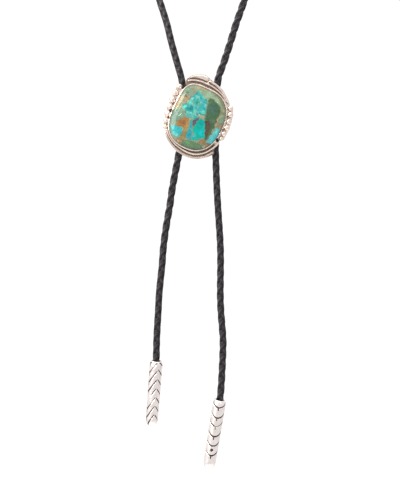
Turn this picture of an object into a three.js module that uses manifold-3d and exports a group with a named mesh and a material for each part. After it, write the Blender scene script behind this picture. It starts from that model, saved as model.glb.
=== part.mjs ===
// A bolo tie: a silver slide set with a turquoise cabochon, on one braided leather cord
// that goes round the neck, through a clip behind the slide, and ends in two silver tips.
//
// Units are millimetres. +Z is up, -Y is the front, and +X is to the viewer's right.
// The origin is the nape, where the back of the neck loop rests.

import * as THREE from 'three';
import { mergeVertices } from 'three/addons/utils/BufferGeometryUtils.js';
import Module from 'manifold-3d';

const { Manifold, Mesh: ManifoldMesh } = await loadManifold();

// ---------------------------------------------------------------- driving dimensions

const GAP = 0.3; // between pieces that touch

const CORD = { radius: 2.05, sides: 10, step: 12.6 };

// The slide's own plane: x to the right, y up, z towards the viewer, 0 at its back face.
const SLIDE = { x: -2, y: -131.55, z: -205, leanDeg: 19 };
const PLATE_THICKNESS = 1.0;

// The stone's outline is a soft rectangle, turned a little in the slide's plane.
// Each corner has its own fullness: 2 is round.
const STONE = { x: -0.2, y: -1.7, halfWidth: 15.45, halfHeight: 18.45, turnDeg: -6.5, facets: 48 };
const FULLNESS = { topRight: 2.4, topLeft: 4.2, bottomLeft: 2.5, bottomRight: 2.35 };
const STONE_GIRDLE = 3.2;
const STONE_TOP = 7.5;
const DOME_RINGS = 7;

const BEZEL = { wall: 0.8, height: 3.4, chamfer: 0.35 };

// Half-round wires soldered on the plate, above (a, b) and below (c, d) the stone.
const WIRE = { width: 1.3, height: 1.15, step: 2.4, facets: 3 };
const WIRE_ROUTES = {
  a: [[-13.6, 18.2], [-10, 19.6], [-5, 20.2], [0, 19.8], [4.5, 18.8], [8.5, 17], [13, 13.3]],
  b: [[-1.1, 22.3], [4, 21.1], [7.9, 19], [10.9, 16.7], [14.4, 12.8]],
  c: [[-15.9, -13.1], [-14, -16], [-10.9, -18.7], [-6.9, -20.8], [-2, -22.1], [3, -22.4],
    [7, -21.4], [10.5, -19.3], [13.1, -16.4], [14.9, -13.6], [15.8, -11.2]],
  d: [[-16.6, -13.3], [-14.9, -16.6], [-11.8, -19.8], [-7.9, -22.3], [-3.5, -24], [2, -24.6],
    [7, -23.7], [11, -21.6], [15.1, -17.5]],
};

// Outer edges of the plate beyond the bezel: smooth through edge, then straight across inside.
const CRESCENT_PLATES = {
  top: {
    edge: [[-14.5, 16.6], [-14.2, 19.3], [-12.4, 21.7], [-10, 23.3], [-7.5, 24.3], [-4.5, 24.8],
      [-2.1, 24.2], [0.5, 23.1], [4, 21.9], [8.4, 19.8], [11.7, 17], [14.4, 14.2], [15.9, 12.1]],
    inside: [[11, 8], [-11, 12]],
  },
  bottom: {
    edge: [[-17.4, -12.4], [-15.8, -16.4], [-12.6, -19.9], [-8.4, -22.9], [-3.7, -24.7], [2, -25.3],
      [7.3, -24.4], [11.5, -22.2], [14.2, -20], [15.9, -17.8], [15, -16.4], [15.3, -14.6],
      [16.2, -12.6], [16.8, -11.2], [16.6, -10.2]],
    inside: [[12, -9], [-14, -8]],
  },
};

// The raised lobe over the left half of the top crescent.
const LOBE = [[-14, 19], [-12.4, 21.3], [-10.2, 22.9], [-7.5, 24], [-4.5, 24.5], [-2.3, 24.1],
  [-1.4, 22.7], [-2.3, 21.6], [-6, 21.7], [-10, 21.2], [-12.6, 20]];
const LOBE_HEIGHT = 1.0;

// Raindrop beads down each side, from the top: centre and radius.
const BEADS = {
  left: [
    { x: -17.1, y: 13.2, radius: 1.75 },
    { x: -17.9, y: 8.9, radius: 2 },
    { x: -18.3, y: 4.4, radius: 2.05 },
    { x: -18.4, y: 0, radius: 2.05 },
    { x: -18.3, y: -4.4, radius: 2 },
    { x: -17.8, y: -8.5, radius: 1.85 },
    { x: -17.2, y: -12.2, radius: 1.5 },
  ],
  right: [
    { x: 16.2, y: 10.8, radius: 1.8 },
    { x: 17.4, y: 7.1, radius: 1.9 },
    { x: 17.8, y: 3.1, radius: 1.9 },
    { x: 17.9, y: -1, radius: 1.9 },
    { x: 17.4, y: -4.9, radius: 1.75 },
    { x: 16.9, y: -8.2, radius: 1.5 },
  ],
};
const BEAD_LIFT = 0.3; // bead centre above the plate, as a share of its radius
const BEAD_STRIP_WIDTH = 3.4;

const CLIP = {
  leanDeg: 2,
  halfSpacing: 10.55,
  length: 26,
  plateWidth: 27,
  plateThickness: 1,
  boreRadius: 2.4,
  wall: 0.8,
  facets: 20,
};

// Cord routes in the part's own frame, x, y, z. Each starts at the middle of its channel.
const LOOP_ROUTE = [
  [-12.53, -128, -204.48], [-12.3, -128, -197.64], [-12.09, -128, -191.64],
  [-11.8, -128, -186.6], [-12.7, -127.9, -181.1], [-15.4, -127.4, -171.5],
  [-18.7, -126.2, -159.5], [-21.6, -124.2, -147.5], [-24.8, -121.4, -137],
  [-32.5, -113, -113], [-41, -99.5, -87.5], [-49.5, -80, -63], [-56, -58.5, -42],
  [-58, -38, -26.5], [-53.5, -19, -14.5], [-40.5, -6.3, -6], [-21, -0.9, -1.3], [0, 0, 0],
  [21, -0.9, -1.3], [40.5, -6.3, -6], [53.5, -19, -14.5], [58, -38, -26.5],
  [56, -58.5, -42], [49.5, -80, -63], [41, -99.5, -87.5], [32.5, -113, -113],
  [24.3, -121.4, -137], [20.65, -124.2, -147.5], [17, -126.2, -159.5],
  [13.1, -127.4, -171.5], [9.75, -127.9, -181.1], [9.05, -128, -186.6],
  [8.99, -128, -192.37], [8.78, -128, -198.37], [8.55, -128, -205.22],
];
const LEFT_END_ROUTE = [
  [-12.55, -128, -204.78], [-12.78, -128, -211.63], [-12.99, -128, -217.62],
  [-13.9, -128, -225], [-15, -128, -231.5], [-16.8, -128, -240.5], [-18.4, -128, -249.5],
  [-19.65, -128, -258.5], [-21.25, -128, -267.5], [-22.65, -128, -276.5], [-23.7, -128, -285.5],
  [-24.35, -128, -294.5], [-25.3, -128, -303.5], [-26.15, -128, -312.5], [-26.6, -128, -321.5],
  [-27.15, -128, -330.5], [-27.6, -128, -339.5], [-27.75, -128, -346.5], [-27.9, -128, -351.5],
  [-28.2, -128, -357.4],
];
const RIGHT_END_ROUTE = [
  [8.53, -128, -205.52], [8.3, -128, -212.37], [8.09, -128, -218.36], [8, -128, -225],
  [8.2, -128, -231.5], [8.5, -128, -240.5], [8.9, -128, -249.5], [9.4, -128, -258.5],
  [10, -128, -267.5], [10.6, -128, -276.5], [11, -128, -285.5], [11.05, -128, -294.5],
  [10.95, -128, -303.5], [10.9, -128, -312.5], [11.2, -128, -321.5], [11.9, -128, -330.5],
  [12.55, -128, -339.5], [12.4, -128, -348.5], [12, -128, -357.5], [11.5, -128, -366.5],
  [10.8, -128, -374.6], [9.75, -128, -381],
];

// Tips: the mouth's centre, the lean from plumb, and the length.
const TIPS = {
  tip_left: { mouth: [-27.75, -128, -352], leanDeg: 4.45, length: 40 },
  tip_right: { mouth: [10.65, -128, -375.6], leanDeg: 9.35, length: 42.5 },
};
const TIP = {
  mouthRadius: 3.1,
  bellyRadius: 3.9,
  bellyFrom: 2.4,
  bellyTo: 6,
  tailRadius: 3.65,
  wall: 0.7,
  lip: 0.4,
  roundEnd: 4.2,
  facets: 20,
};

const COLOURS = {
  silver: { color: 0xd9d4cf, roughness: 0.25, metalness: 1 },
  turquoise: { color: 0x4f9c8c, roughness: 0.12, metalness: 0 },
  steel: { color: 0xb9b9b8, roughness: 0.35, metalness: 1 },
  leather: { color: 0x2c292a, roughness: 0.55, metalness: 0 },
};

// ---------------------------------------------------------------- solids

async function loadManifold() {
  const wasm = await Module();
  wasm.setup();
  return wasm;
}

function toSolid(geometry) {
  const plain = geometry.clone();
  plain.deleteAttribute('normal');
  plain.deleteAttribute('uv');
  const merged = mergeVertices(plain);
  const corners = [];
  const index = merged.index.array;
  for (let i = 0; i < index.length; i += 3) {
    const [a, b, c] = index.slice(i, i + 3);
    if (a !== b && b !== c && c !== a) corners.push(a, b, c);
  }
  return new Manifold(new ManifoldMesh({
    numProp: 3,
    vertProperties: new Float32Array(merged.attributes.position.array),
    triVerts: new Uint32Array(corners),
  }));
}

function fromSolid(solid) {
  const mesh = solid.getMesh();
  const geometry = new THREE.BufferGeometry();
  geometry.setAttribute('position', new THREE.BufferAttribute(mesh.vertProperties, 3));
  geometry.setIndex(new THREE.BufferAttribute(mesh.triVerts, 1));
  geometry.computeVertexNormals();
  return geometry;
}

function joined(geometries) {
  return geometries.map(toSolid).reduce((whole, piece) => whole.add(piece));
}

// ---------------------------------------------------------------- the stone's outline

function fullnessAt(angle) {
  const right = Math.cos(angle) >= 0;
  if (Math.sin(angle) >= 0) return right ? FULLNESS.topRight : FULLNESS.topLeft;
  return right ? FULLNESS.bottomRight : FULLNESS.bottomLeft;
}

// A point of the outline, moved outwards by offset along its normal.
function outlinePoint(angle, offset) {
  const power = fullnessAt(angle);
  const [c, s] = [Math.cos(angle), Math.sin(angle)];
  const u = Math.sign(c) * Math.abs(c) ** (2 / power);
  const v = Math.sign(s) * Math.abs(s) ** (2 / power);
  const normal = new THREE.Vector2(
    Math.sign(u) * Math.abs(u) ** (power - 1) / STONE.halfWidth,
    Math.sign(v) * Math.abs(v) ** (power - 1) / STONE.halfHeight,
  ).normalize();
  return new THREE.Vector2(STONE.halfWidth * u, STONE.halfHeight * v)
    .addScaledVector(normal, offset)
    .rotateAround(new THREE.Vector2(), THREE.MathUtils.degToRad(STONE.turnDeg));
}

// A turned shape bent onto the stone's outline. A profile point is [reach, height]: a reach
// up to 1 is a share of the outline, and beyond 1 it is 1 plus millimetres outside it.
function aroundStone(profile) {
  const points = profile.map(([reach, height]) => new THREE.Vector2(reach, height));
  const geometry = new THREE.LatheGeometry(points, STONE.facets);
  const place = geometry.attributes.position;
  for (let i = 0; i < place.count; i += 1) {
    const reach = Math.hypot(place.getX(i), place.getZ(i));
    const angle = Math.atan2(place.getX(i), place.getZ(i));
    const at = outlinePoint(angle, Math.max(0, reach - 1)).multiplyScalar(Math.min(1, reach));
    place.setXYZ(i, STONE.x + at.x, STONE.y + at.y, place.getY(i));
  }
  return geometry;
}

// ---------------------------------------------------------------- pieces of the slide

const vectors2 = (points) => points.map(([x, y]) => new THREE.Vector2(x, y));
const vectors3 = (points, z) => points.map(([x, y]) => new THREE.Vector3(x, y, z));

function tray() {
  const outer = 1 + GAP + BEZEL.wall;
  const inner = 1 + GAP;
  return aroundStone([
    [0, 0],
    [outer, 0],
    [outer, BEZEL.height - BEZEL.chamfer],
    [outer - BEZEL.chamfer, BEZEL.height],
    [inner, BEZEL.height],
    [inner, PLATE_THICKNESS],
    [0, PLATE_THICKNESS],
  ]);
}

function crescentPlate({ edge, inside }) {
  const outline = new THREE.SplineCurve(vectors2(edge)).getPoints(edge.length * 3);
  const shape = new THREE.Shape([...outline, ...vectors2(inside)]);
  return new THREE.ExtrudeGeometry(shape, { depth: PLATE_THICKNESS, bevelEnabled: false });
}

// Along a flat route the extrusion's section has its x pointing down into the plate.
function sweptOnPlate(route, section) {
  const path = new THREE.CatmullRomCurve3(vectors3(route, PLATE_THICKNESS));
  const steps = Math.ceil(path.getLength() / WIRE.step);
  return new THREE.ExtrudeGeometry(section, {
    steps,
    curveSegments: WIRE.facets,
    extrudePath: path,
  });
}

function wire(route) {
  const sunk = PLATE_THICKNESS / 2;
  const half = WIRE.width / 2;
  const section = new THREE.Shape();
  section.absellipse(0, 0, WIRE.height, half, Math.PI / 2, Math.PI * 1.5, false);
  section.lineTo(sunk, -half);
  section.lineTo(sunk, half);
  return sweptOnPlate(route, section);
}

function lobe() {
  const outline = new THREE.SplineCurve(vectors2([...LOBE, LOBE[0]])).getPoints(30);
  const shape = new THREE.Shape(outline.slice(0, -1));
  const sunk = PLATE_THICKNESS / 2;
  const geometry = new THREE.ExtrudeGeometry(shape, {
    depth: sunk + LOBE_HEIGHT,
    bevelEnabled: false,
  });
  return geometry.translate(0, 0, PLATE_THICKNESS - sunk);
}

function bead({ x, y, radius }) {
  const ball = new THREE.SphereGeometry(radius, 12, 8);
  return ball.translate(x, y, PLATE_THICKNESS + BEAD_LIFT * radius);
}

function beadRow(beads) {
  const half = BEAD_STRIP_WIDTH / 2;
  const section = new THREE.Shape(vectors2([
    [0, -half], [PLATE_THICKNESS, -half], [PLATE_THICKNESS, half], [0, half],
  ]));
  const strip = sweptOnPlate(beads.map(({ x, y }) => [x, y]), section);
  return [strip, ...beads.map(bead)];
}

// A bead reaches below its plate only as far as the plate's back face.
function aboveBackFace(solid) {
  const cutter = new THREE.BoxGeometry(60, 70, 10).translate(0, 0, -5);
  return solid.subtract(toSolid(cutter));
}

function slideSetting() {
  const whole = joined([
    tray(),
    crescentPlate(CRESCENT_PLATES.top),
    crescentPlate(CRESCENT_PLATES.bottom),
    ...Object.values(WIRE_ROUTES).map(wire),
    lobe(),
    ...beadRow(BEADS.left),
    ...beadRow(BEADS.right),
  ]);
  return fromSolid(aboveBackFace(whole));
}

function slideStone() {
  const profile = [[0, PLATE_THICKNESS + GAP], [1, PLATE_THICKNESS + GAP]];
  for (let i = 0; i <= DOME_RINGS; i += 1) {
    const rise = (i / DOME_RINGS) * (Math.PI / 2);
    const reach = i === DOME_RINGS ? 0 : Math.cos(rise);
    profile.push([reach, STONE_GIRDLE + (STONE_TOP - STONE_GIRDLE) * Math.sin(rise)]);
  }
  return aroundStone(profile);
}

// ---------------------------------------------------------------- clip, cords and tips

function cordClip() {
  const outer = CLIP.boreRadius + CLIP.wall;
  const plate = new THREE.BoxGeometry(CLIP.plateWidth, CLIP.length, CLIP.plateThickness);
  plate.translate(0, 0, -GAP - CLIP.plateThickness / 2);
  const channels = [-1, 1].map((side) => channel(side, outer, CLIP.length));
  const bores = [-1, 1].map((side) => channel(side, CLIP.boreRadius, CLIP.length + 2));
  return fromSolid(joined([plate, ...channels]).subtract(joined(bores)));
}

function channel(side, radius, length) {
  const depth = -GAP - CLIP.boreRadius - CLIP.wall;
  const tube = new THREE.CylinderGeometry(radius, radius, length, CLIP.facets);
  return tube.translate(side * CLIP.halfSpacing, 0, depth);
}

function cord(route) {
  const path = new THREE.CatmullRomCurve3(route.map((at) => new THREE.Vector3(...at)));
  const section = new THREE.Shape();
  section.absarc(0, 0, CORD.radius, 0, Math.PI * 2);
  return new THREE.ExtrudeGeometry(section, {
    steps: Math.round(path.getLength() / CORD.step),
    curveSegments: CORD.sides / 2,
    extrudePath: path,
  });
}

// One side of a tip's wall, from the middle of its round end up to just below the mouth.
function tipSide(length, inset) {
  const radius = TIP.tailRadius - inset;
  const rise = TIP.roundEnd - inset;
  const side = [];
  for (const turnDeg of [0, 30, 60, 90]) {
    const turn = THREE.MathUtils.degToRad(turnDeg);
    side.push([radius * Math.sin(turn), inset - length + rise * (1 - Math.cos(turn))]);
  }
  side.push([TIP.bellyRadius - inset, -TIP.bellyTo], [TIP.bellyRadius - inset, -TIP.bellyFrom]);
  return side;
}

function tip(length) {
  const mouth = [[TIP.mouthRadius, 0], [TIP.mouthRadius - TIP.lip, 0]];
  const inside = tipSide(length, TIP.wall).reverse();
  const points = vectors2([...tipSide(length, 0), ...mouth, ...inside]);
  return new THREE.LatheGeometry(points, TIP.facets).rotateX(Math.PI / 2);
}

// ---------------------------------------------------------------- assembly

function piece(name, geometry, colours) {
  const mesh = new THREE.Mesh(geometry, new THREE.MeshStandardMaterial(colours));
  mesh.name = name;
  return mesh;
}

function slide() {
  const whole = new THREE.Group();
  whole.position.set(SLIDE.x, SLIDE.y, SLIDE.z);
  whole.rotation.x = Math.PI / 2;

  const front = new THREE.Group();
  front.rotation.z = -THREE.MathUtils.degToRad(SLIDE.leanDeg);
  front.add(piece('slide_setting', slideSetting(), COLOURS.silver));
  front.add(piece('slide_stone', slideStone(), COLOURS.turquoise));

  const clip = piece('cord_clip', cordClip(), COLOURS.steel);
  clip.rotation.z = -THREE.MathUtils.degToRad(CLIP.leanDeg);
  whole.add(front, clip);
  return whole;
}

const boloTie = new THREE.Group();
boloTie.add(slide());
boloTie.add(piece('neck_loop', cord(LOOP_ROUTE), COLOURS.leather));
boloTie.add(piece('cord_end_left', cord(LEFT_END_ROUTE), COLOURS.leather));
boloTie.add(piece('cord_end_right', cord(RIGHT_END_ROUTE), COLOURS.leather));

for (const [name, { mouth, leanDeg, length }] of Object.entries(TIPS)) {
  const end = piece(name, tip(length), COLOURS.silver);
  end.position.set(...mouth);
  end.rotation.y = THREE.MathUtils.degToRad(leanDeg);
  boloTie.add(end);
}

export default boloTie;
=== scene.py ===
import bpy
import bmesh
import numpy as np
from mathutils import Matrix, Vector


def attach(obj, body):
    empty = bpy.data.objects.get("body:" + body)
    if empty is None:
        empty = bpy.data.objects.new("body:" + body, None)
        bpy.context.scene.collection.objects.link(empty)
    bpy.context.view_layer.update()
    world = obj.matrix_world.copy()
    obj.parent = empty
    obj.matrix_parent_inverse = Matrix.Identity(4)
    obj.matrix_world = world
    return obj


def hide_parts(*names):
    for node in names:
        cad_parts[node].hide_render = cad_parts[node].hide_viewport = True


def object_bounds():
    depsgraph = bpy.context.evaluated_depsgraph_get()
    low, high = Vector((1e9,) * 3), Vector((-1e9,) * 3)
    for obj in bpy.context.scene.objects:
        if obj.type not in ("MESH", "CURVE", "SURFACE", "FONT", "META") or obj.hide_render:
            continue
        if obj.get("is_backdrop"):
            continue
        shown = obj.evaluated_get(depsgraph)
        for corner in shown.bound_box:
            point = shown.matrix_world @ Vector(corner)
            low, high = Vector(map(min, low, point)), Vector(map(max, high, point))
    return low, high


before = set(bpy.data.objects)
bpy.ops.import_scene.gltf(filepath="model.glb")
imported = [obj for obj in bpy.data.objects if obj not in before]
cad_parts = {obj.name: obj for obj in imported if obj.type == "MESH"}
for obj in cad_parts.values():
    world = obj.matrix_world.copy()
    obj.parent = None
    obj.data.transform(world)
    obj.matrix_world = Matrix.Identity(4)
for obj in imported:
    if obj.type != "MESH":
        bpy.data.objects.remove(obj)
cad_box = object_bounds()

# A bolo tie. Lengths are in millimetres in the part's frame, and MM turns them into metres.
MM = 0.001
TURN = 2 * np.pi

# ---------------------------------------------------------------- dimensions shared with the CAD

CORD_RADIUS = 2.05
SLIDE = {"x": -2, "y": -131.55, "z": -205, "lean": 19}
PLATE = 1.0
STONE = {"x": -0.2, "y": -1.7, "half_width": 15.45, "half_height": 18.45, "turn": -6.5}
FULLNESS = {"top_right": 2.4, "top_left": 4.2, "bottom_left": 2.5, "bottom_right": 2.35}
STONE_BASE = 1.3
STONE_GIRDLE = 3.2
STONE_TOP = 7.5
BEZEL_OUT = 1.1

WIRE_ROUTES = {
    "a": [(-13.6, 18.2), (-10, 19.6), (-5, 20.2), (0, 19.8), (4.5, 18.8), (8.5, 17), (13, 13.3)],
    "b": [(-1.1, 22.3), (4, 21.1), (7.9, 19), (10.9, 16.7), (14.4, 12.8)],
    "c": [(-15.9, -13.1), (-14, -16), (-10.9, -18.7), (-6.9, -20.8), (-2, -22.1), (3, -22.4),
          (7, -21.4), (10.5, -19.3), (13.1, -16.4), (14.9, -13.6), (15.8, -11.2)],
    "d": [(-16.6, -13.3), (-14.9, -16.6), (-11.8, -19.8), (-7.9, -22.3), (-3.5, -24), (2, -24.6),
          (7, -23.7), (11, -21.6), (15.1, -17.5)],
}
WIRE_TARNISH = {"a": 0.4, "b": 0.36, "c": 0.16, "d": 0.46}
CRESCENT_PLATES = [
    ([(-14.5, 16.6), (-14.2, 19.3), (-12.4, 21.7), (-10, 23.3), (-7.5, 24.3), (-4.5, 24.8),
      (-2.1, 24.2), (0.5, 23.1), (4, 21.9), (8.4, 19.8), (11.7, 17), (14.4, 14.2), (15.9, 12.1)],
     [(11, 8), (-11, 12)]),
    ([(-17.4, -12.4), (-15.8, -16.4), (-12.6, -19.9), (-8.4, -22.9), (-3.7, -24.7), (2, -25.3),
      (7.3, -24.4), (11.5, -22.2), (14.2, -20), (15.9, -17.8), (15, -16.4), (15.3, -14.6),
      (16.2, -12.6), (16.8, -11.2), (16.6, -10.2)],
     [(12, -9), (-14, -8)]),
]
LOBE_OUTER = [(-14, 19), (-12.4, 21.3), (-10.2, 22.9), (-7.5, 24), (-4.5, 24.5), (-2.3, 24.1),
              (-1.4, 22.7)]
LOBE_INNER = [(-14, 19), (-12.6, 20), (-10, 21.2), (-6, 21.7), (-2.3, 21.6), (-1.4, 22.7)]

# x, y and radius of each bead, from the top
BEADS_LEFT = [(-17.1, 13.2, 1.75), (-17.9, 8.9, 2), (-18.3, 4.4, 2.05), (-18.4, 0, 2.05),
              (-18.3, -4.4, 2), (-17.8, -8.5, 1.85), (-17.2, -12.2, 1.5)]
BEADS_RIGHT = [(16.2, 10.8, 1.8), (17.4, 7.1, 1.9), (17.8, 3.1, 1.9), (17.9, -1, 1.9),
               (17.4, -4.9, 1.75), (16.9, -8.2, 1.5)]
BEAD_STRIP_WIDTH = 3.4

# Where the lobe's end is soldered to the top wire, so that the plate is clean there
LOBE_JOINT = (-1.3, 22.6)

# x, y, radius and darkness of the darkest places, from 1 for darkened silver to 2 for a pit's
# black, which is painted shade
DARK_SPOTS = [(-17.2, 2, 0.7, 1), (-17.2, -2.2, 1.1, 1.3), (-17, -6.6, 0.9, 1.2),
              (-16.4, -10.6, 0.6, 1), (15.1, -9.8, 1.0, 2), (16.2, -3, 0.6, 1), (16.1, 5, 0.5, 1)]

CLIP = {"lean": 2, "spacing": 10.55, "length": 26, "width": 27, "back": -1.3,
        "bore": 2.4, "wall": 0.8, "axis": -3.5}

LOOP_ROUTE = [
    (-12.53, -128, -204.48), (-12.3, -128, -197.64), (-12.09, -128, -191.64),
    (-11.8, -128, -186.6), (-12.7, -127.9, -181.1), (-15.4, -127.4, -171.5),
    (-18.7, -126.2, -159.5), (-21.6, -124.2, -147.5), (-24.8, -121.4, -137),
    (-32.5, -113, -113), (-41, -99.5, -87.5), (-49.5, -80, -63), (-56, -58.5, -42),
    (-58, -38, -26.5), (-53.5, -19, -14.5), (-40.5, -6.3, -6), (-21, -0.9, -1.3), (0, 0, 0),
    (21, -0.9, -1.3), (40.5, -6.3, -6), (53.5, -19, -14.5), (58, -38, -26.5),
    (56, -58.5, -42), (49.5, -80, -63), (41, -99.5, -87.5), (32.5, -113, -113),
    (24.3, -121.4, -137), (20.65, -124.2, -147.5), (17, -126.2, -159.5),
    (13.1, -127.4, -171.5), (9.75, -127.9, -181.1), (9.05, -128, -186.6),
    (8.99, -128, -192.37), (8.78, -128, -198.37), (8.55, -128, -205.22),
]
LEFT_END_ROUTE = [
    (-12.55, -128, -204.78), (-12.78, -128, -211.63), (-12.99, -128, -217.62),
    (-13.9, -128, -225), (-15, -128, -231.5), (-16.8, -128, -240.5), (-18.4, -128, -249.5),
    (-19.65, -128, -258.5), (-21.25, -128, -267.5), (-22.65, -128, -276.5), (-23.7, -128, -285.5),
    (-24.35, -128, -294.5), (-25.3, -128, -303.5), (-26.15, -128, -312.5), (-26.6, -128, -321.5),
    (-27.15, -128, -330.5), (-27.6, -128, -339.5), (-27.75, -128, -346.5), (-27.9, -128, -351.5),
    (-28.2, -128, -357.4),
]
RIGHT_END_ROUTE = [
    (8.53, -128, -205.52), (8.3, -128, -212.37), (8.09, -128, -218.36), (8, -128, -225),
    (8.2, -128, -231.5), (8.5, -128, -240.5), (8.9, -128, -249.5), (9.4, -128, -258.5),
    (10, -128, -267.5), (10.6, -128, -276.5), (11, -128, -285.5), (11.05, -128, -294.5),
    (10.95, -128, -303.5), (10.9, -128, -312.5), (11.2, -128, -321.5), (11.9, -128, -330.5),
    (12.55, -128, -339.5), (12.4, -128, -348.5), (12, -128, -357.5), (11.5, -128, -366.5),
    (10.8, -128, -374.6), (9.75, -128, -381),
]

# Tips: the mouth's centre, the lean from plumb, the length, and which way the stamped face is
# turned. That face and the one opposite each have a row of bows: how high they rise, how they
# bend, and how far their lowest points are below the mouth. A dot is punched at a depth of its
# own. A rubbed place has lost its stain: its angle, depth, radius and strength.
TIPS = {
    "tip_left": {"mouth": (-27.75, -128, -352), "lean": 4.45, "length": 40, "turned": 112,
                 "rises": (5.3, 7.6), "bend": 1.2, "dot": None,
                 "rows": [(-0.9, 4.7, 10.3, 16.1, 21.9, 27.3, 32.5, 37.6),
                          (1.9, 7.5, 13.3, 18.8, 24.1, 29.4, 34.6, 39.8)],
                 "rubbed": (-0.9, 23.4, 3.6, 0.75)},
    "tip_right": {"mouth": (10.65, -128, -375.6), "lean": 9.35, "length": 42.5, "turned": 0,
                  "rises": (4.3, 4.3), "bend": 1.85, "dot": 30.6,
                  "rows": [(4.7, 11, 16.1, 22.3, 28.1, 33.9),
                           (2.4, 8.2, 14, 19.8, 25.9, 31.7, 37.1)],
                  "rubbed": (0.3, 15.2, 3, 0.35)},
}

# ---------------------------------------------------------------- camera

VIEW_CENTRE = (-1.4, -281.9)
VIEW_HEIGHT = 293.4
SENSOR = 36
LENS = 100


def add_object(name, data):
    """A new object in the scene."""
    made = bpy.data.objects.new(name, data)
    bpy.context.scene.collection.objects.link(made)
    return made


camera_data = bpy.data.cameras.new("camera")
camera_data.sensor_width = SENSOR
camera_data.lens = LENS
camera = add_object("camera", camera_data)
bpy.context.scene.camera = camera
camera_y = SLIDE["y"] - STONE_GIRDLE - VIEW_HEIGHT * LENS / SENSOR
camera.location = Vector((VIEW_CENTRE[0], camera_y, VIEW_CENTRE[1])) * MM
camera.rotation_euler = (np.pi / 2, 0, 0)
camera_data.clip_start = 0.01
camera_data.clip_end = 20

# ---------------------------------------------------------------- curves and meshes


def smooth_curve(points, per_span=24):
    """A centripetal Catmull-Rom curve through the points, the same as the CAD's."""
    p = np.array(points, float)
    p = np.vstack([2 * p[0] - p[1], p, 2 * p[-1] - p[-2]])
    u = np.linspace(0, 1, per_span, endpoint=False)[:, None]
    spans = []
    for a, b, c, d in zip(p[:-3], p[1:-2], p[2:-1], p[3:]):
        ab, bc, cd = (np.sqrt(np.linalg.norm(j - i)) for i, j in ((a, b), (b, c), (c, d)))
        start = ((b - a) / ab - (c - a) / (ab + bc) + (c - b) / bc) * bc
        end = ((c - b) / bc - (d - b) / (bc + cd) + (d - c) / cd) * bc
        spans.append(b + start * u + (3 * (c - b) - 2 * start - end) * u**2
                     + (2 * (b - c) + start + end) * u**3)
    return np.vstack([*spans, p[-2]])


def evenly(line, step):
    """The line again with points about step apart, and each point's distance along it."""
    gaps = np.linalg.norm(np.diff(line, axis=0), axis=1)
    along = np.concatenate([[0], np.cumsum(gaps)])
    count = int(round(along[-1] / step)) + 1
    at = np.linspace(0, along[-1], count)
    return np.stack([np.interp(at, along, line[:, i]) for i in range(line.shape[1])], -1), at


def unit(v):
    """Each vector at length 1."""
    return v / np.maximum(np.linalg.norm(v, axis=-1, keepdims=True), 1e-12)


def carried_frame(line, first):
    """Two directions across the line at each point, carried along it without twisting."""
    tangent = unit(np.gradient(line, axis=0))
    across = np.zeros_like(line)
    across[0] = unit(first - tangent[0] * (tangent[0] @ first))
    for i in range(1, len(line)):
        v = across[i - 1]
        across[i] = unit(v - tangent[i] * (tangent[i] @ v))
    return across, np.cross(tangent, across)


def grid_faces(rows, columns, close_rows=False):
    """Quads of a grid whose columns wrap round, and whose rows do too when close_rows is set."""
    last = rows if close_rows else rows - 1
    i, j = np.meshgrid(np.arange(last), np.arange(columns), indexing="ij")
    up, over = (i + 1) % rows, (j + 1) % columns
    quads = [i * columns + j, i * columns + over, up * columns + over, up * columns + j]
    return np.stack(quads, -1).reshape(-1, 4).tolist()


def mesh_piece(name, points, faces, **attributes):
    """A smooth object from points in millimetres, with its faces turned outwards."""
    mesh = bpy.data.meshes.new(name)
    mesh.from_pydata((np.asarray(points, float).reshape(-1, 3) * MM).tolist(), [], faces)
    for key, values in attributes.items():
        values = np.asarray(values, np.float32)
        kind = "FLOAT" if values.ndim == 1 else "FLOAT_COLOR"
        layer = mesh.attributes.new(key, kind, "POINT")
        layer.data.foreach_set("value" if values.ndim == 1 else "color", values.ravel())
    work = bmesh.new()
    work.from_mesh(mesh)
    bmesh.ops.recalc_face_normals(work, faces=work.faces)
    work.to_mesh(mesh)
    work.free()
    mesh.polygons.foreach_set("use_smooth", [True] * len(mesh.polygons))
    return add_object(name, mesh)


def capped(rings, ends=None):
    """Points and faces of a closed tube through equal rings, with a point at each end's middle."""
    rows, columns = rings.shape[:2]
    if ends is None:
        ends = (rings[0].mean(0), rings[-1].mean(0))
    points = np.vstack([rings.reshape(-1, 3), *ends])
    faces = grid_faces(rows, columns)
    first, last, base = rows * columns, rows * columns + 1, (rows - 1) * columns
    for j in range(columns):
        k = (j + 1) % columns
        faces.append([first, k, j])
        faces.append([last, base + j, base + k])
    return points, faces


def gathered(parts):
    """Several (points, faces) as one."""
    points, faces, count = [], [], 0
    for p, f in parts:
        points.append(p)
        faces += [[i + count for i in face] for face in f]
        count += len(p)
    return np.vstack(points), faces


def step_between(low, high, x):
    """0 up to low and 1 from high on, with a smooth step between them."""
    t = np.clip((np.asarray(x, float) - low) / (high - low), 0, 1)
    return t * t * (3 - 2 * t)


LATTICE = 67


def patches(xy, scale, seed):
    """Smooth noise from 0 to 1 whose blotches are about scale wide."""
    lattice = np.random.default_rng(int(seed)).random((LATTICE, LATTICE))
    p = np.asarray(xy, float) / scale + 500
    cell = np.floor(p).astype(int)
    f = p - cell
    f = f * f * (3 - 2 * f)
    i, j = cell[..., 0] % LATTICE, cell[..., 1] % LATTICE
    ii, jj = (i + 1) % LATTICE, (j + 1) % LATTICE
    low = lattice[i, j] * (1 - f[..., 0]) + lattice[ii, j] * f[..., 0]
    high = lattice[i, jj] * (1 - f[..., 0]) + lattice[ii, jj] * f[..., 0]
    return low * (1 - f[..., 1]) + high * f[..., 1]


def keep(piece, material, slot, *nodes):
    """Gives a piece its material and body, and hides the CAD nodes it stands for. The slot is not
    used.
    """
    piece.data.materials.append(material)
    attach(piece, "root")
    if nodes:
        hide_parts(*nodes)
    return piece


# ---------------------------------------------------------------- materials


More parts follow.
